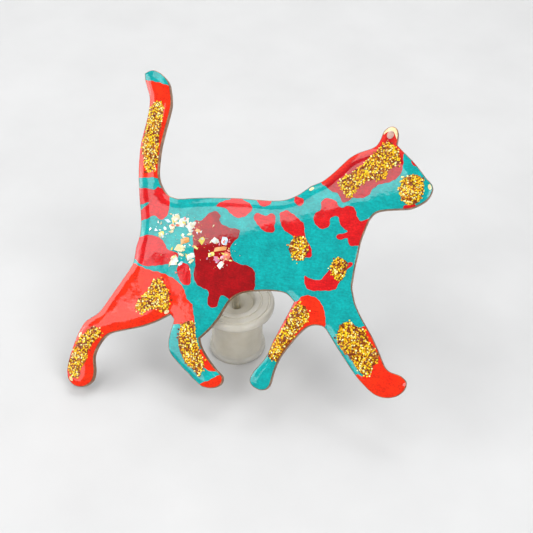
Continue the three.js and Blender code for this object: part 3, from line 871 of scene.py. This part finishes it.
CHIP_MIDDLES = np.array(CHIP_MIDDLES)
SPLIT = CHIP_MIDDLES[:, 0].mean()
PALE_SIDE = CHIP_MIDDLES[CHIP_MIDDLES[:, 0] < SPLIT]
MIXED_SIDE = CHIP_MIDDLES[CHIP_MIDDLES[:, 0] >= SPLIT]
PALE = ("white", "cream", "white", "cream", "blue", "yellow", "coral")
shards("opal_slivers_pale", 78, PALE_SIDE, 0.75, (0.14, 0.42), PALE)
shards("opal_slivers_mixed", 30, MIXED_SIDE, 0.5, (0.1, 0.3), list(CHIP_TINTS))
shards("opal_dust", 90, CHIP_MIDDLES, 1.1, (0.035, 0.09), PALE)


# ---- The clutch and the post ----


def lathe(name, profile, sides, material, body, node):
    """A solid turned about the row's Z axis from (radius, height) pairs that start and end on the axis."""
    ring = np.arange(sides) * 2 * math.pi / sides
    points = [(0, 0, profile[0][1])]
    for radius, height in profile[1:-1]:
        points += [(radius * math.cos(a), radius * math.sin(a), height) for a in ring]
    points.append((0, 0, profile[-1][1]))
    last = len(points) - 1
    faces = [(0, 1 + (k + 1) % sides, 1 + k) for k in range(sides)]
    for level in range(len(profile) - 3):
        low = 1 + level * sides
        for k in range(sides):
            a, b = low + k, low + (k + 1) % sides
            faces.append((a, b, b + sides, a + sides))
    low = last - sides
    faces += [(last, low + k, low + (k + 1) % sides) for k in range(sides)]
    mesh = bpy.data.meshes.new(name)
    mesh.from_pydata([tuple(c * MM for c in p) for p in points], [], faces)
    return piece(mesh, points, material, body, [node], sharp=50)


CLUTCH_PROFILE = [
    # the foot and its lip
    (0, 0),
    (4.2, 0),
    (4.32, 0.03),
    (4.41, 0.12),
    (4.45, 0.26),
    (4.45, 0.55),
    (4.4, 0.75),
    (4.22, 0.9),
    (4.06, 1.0),
    # the neck
    (4.0, 1.15),
    (4.0, 1.4),
    (4.02, 4.5),
    (4.05, 7.75),
    (4.06, 7.95),
    (4.11, 8.1),
    (4.22, 8.28),
    (4.42, 8.43),
    (4.7, 8.5),
    # the flange's rolled rim
    (5.4, 8.52),
    (5.62, 8.58),
    (5.8, 8.74),
    (5.88, 8.95),
    (5.9, 9.2),
    (5.88, 9.55),
    (5.8, 9.74),
    (5.66, 9.86),
    (5.5, 9.9),
    # two shallow rings in its top
    (5.3, 9.9),
    (5.2, 9.76),
    (5.02, 9.76),
    (4.94, 9.9),
    (4.1, 9.9),
    (4.0, 9.74),
    (3.82, 9.74),
    (3.74, 9.9),
    # the recess, its funnel and the blind bore
    (3.05, 9.9),
    (2.9, 9.87),
    (2.78, 9.78),
    (2.68, 9.6),
    (2.6, 9.4),
    (2.3, 9.32),
    (1.5, 9.3),
    (1.1, 9.1),
    (0.56, 8.6),
    (0.56, 3.2),
    (0, 3.2),
]
lathe("silicone_clutch", CLUTCH_PROFILE, 96, SILICONE, "clutch", "rubber_clutch")

for node, look in (("tack_post", POST_METAL), ("post_pad", PAD_METAL), ("pad_solder", SOLDER)):
    mesh = frame["nodes"][node].data
    mesh.materials.clear()
    mesh.materials.append(look)

# ---- Floor, light and camera ----


LIT_POINT = (0.004, 0.002, 0.018)  # near the middle of the pin, in metres


def studio_floor():
    """A plain pale floor, a hair below the clutch's foot."""
    look = Look("studio_floor")
    colour = look.ramp(
        look.noise(60, 3, place=look.object_place()), (0.3, grey(0.62)), (0.7, grey(0.66))
    )
    look.link(colour, look.shader.inputs["Base Color"])
    look.set(Roughness=0.7)
    bpy.ops.mesh.primitive_plane_add(size=12, location=(0, 0, -0.00002))
    made = bpy.context.object
    made.name = "studio_floor"
    made.data.materials.append(look.material)


def softbox(name, at, size, radiance, facing=None, across=(1, 0, 0)):
    """A rectangular light, placed and sized in metres, that shines on the pin or along -facing."""
    data = bpy.data.lights.new(name, "AREA")
    data.shape = "RECTANGLE"
    data.size, data.size_y = size
    data.energy = 4 * radiance * size[0] * size[1]
    made = bpy.data.objects.new(name, data)
    bpy.context.scene.collection.objects.link(made)
    z = Vector(facing) if facing is not None else Vector(at) - Vector(LIT_POINT)
    z.normalize()
    y = z.cross(Vector(across)).normalized()
    turn = Matrix((y.cross(z), y, z)).transposed()
    made.matrix_world = Matrix.Translation(at) @ turn.to_4x4()


def mirrored_box(name, at, size, radiance, turn):
    """A softbox parallel to the plate, whose pale reflection the camera sees in the enamel."""
    across = math.cos(turn) * AXES[0] + math.sin(turn) * AXES[1]
    softbox(name, at, size, radiance, NORMAL, across)


studio_floor()
mirrored_box("long_box", (-0.0716, -0.1326, 0.235), (0.1256, 0.034), 2.5, math.radians(29.1))
mirrored_box("low_box", (-0.1059, -0.1704, 0.2004), (0.0225, 0.0219), 1.4, math.radians(6.1))
softbox("window_box", (-0.235, -0.25, 0.18), (0.26, 0.17), 2.0)
softbox("right_box", (0.42, -0.2, 0.4), (0.36, 0.36), 4.3)
softbox("left_box", (-0.5, -0.1, 0.3), (0.36, 0.3), 3.1)
softbox("over_box", (-0.1, 0.0, 0.36), (0.12, 0.17), 2.0)
softbox("top_box", (-0.05, 0.42, 0.55), (0.5, 0.4), 2.8)

world = bpy.data.worlds.new("studio")
world.use_nodes = True
world.node_tree.nodes["Background"].inputs["Color"].default_value = (0.96, 0.98, 1.0, 1.0)
world.node_tree.nodes["Background"].inputs["Strength"].default_value = 0.26
bpy.context.scene.world = world
bpy.context.scene.view_settings.view_transform = "Standard"

CAMERA_AT = (0.04037, -0.10119, 0.11496)  # metres
LOOKS_AT = (0.00474, 0.00051, 0.01793)
FOCAL_LENGTH = 66.25
SENSOR_WIDTH = 36

lens = bpy.data.cameras.new("camera")
lens.sensor_width = SENSOR_WIDTH
lens.lens = FOCAL_LENGTH
lens.clip_start, lens.clip_end = 0.01, 10
camera = bpy.data.objects.new("camera", lens)
bpy.context.scene.collection.objects.link(camera)
camera.location = CAMERA_AT
look_back = camera.location - Vector(LOOKS_AT)
camera.rotation_mode = "QUATERNION"
camera.rotation_quaternion = look_back.to_track_quat("Z", "Y")
bpy.context.scene.camera = camera
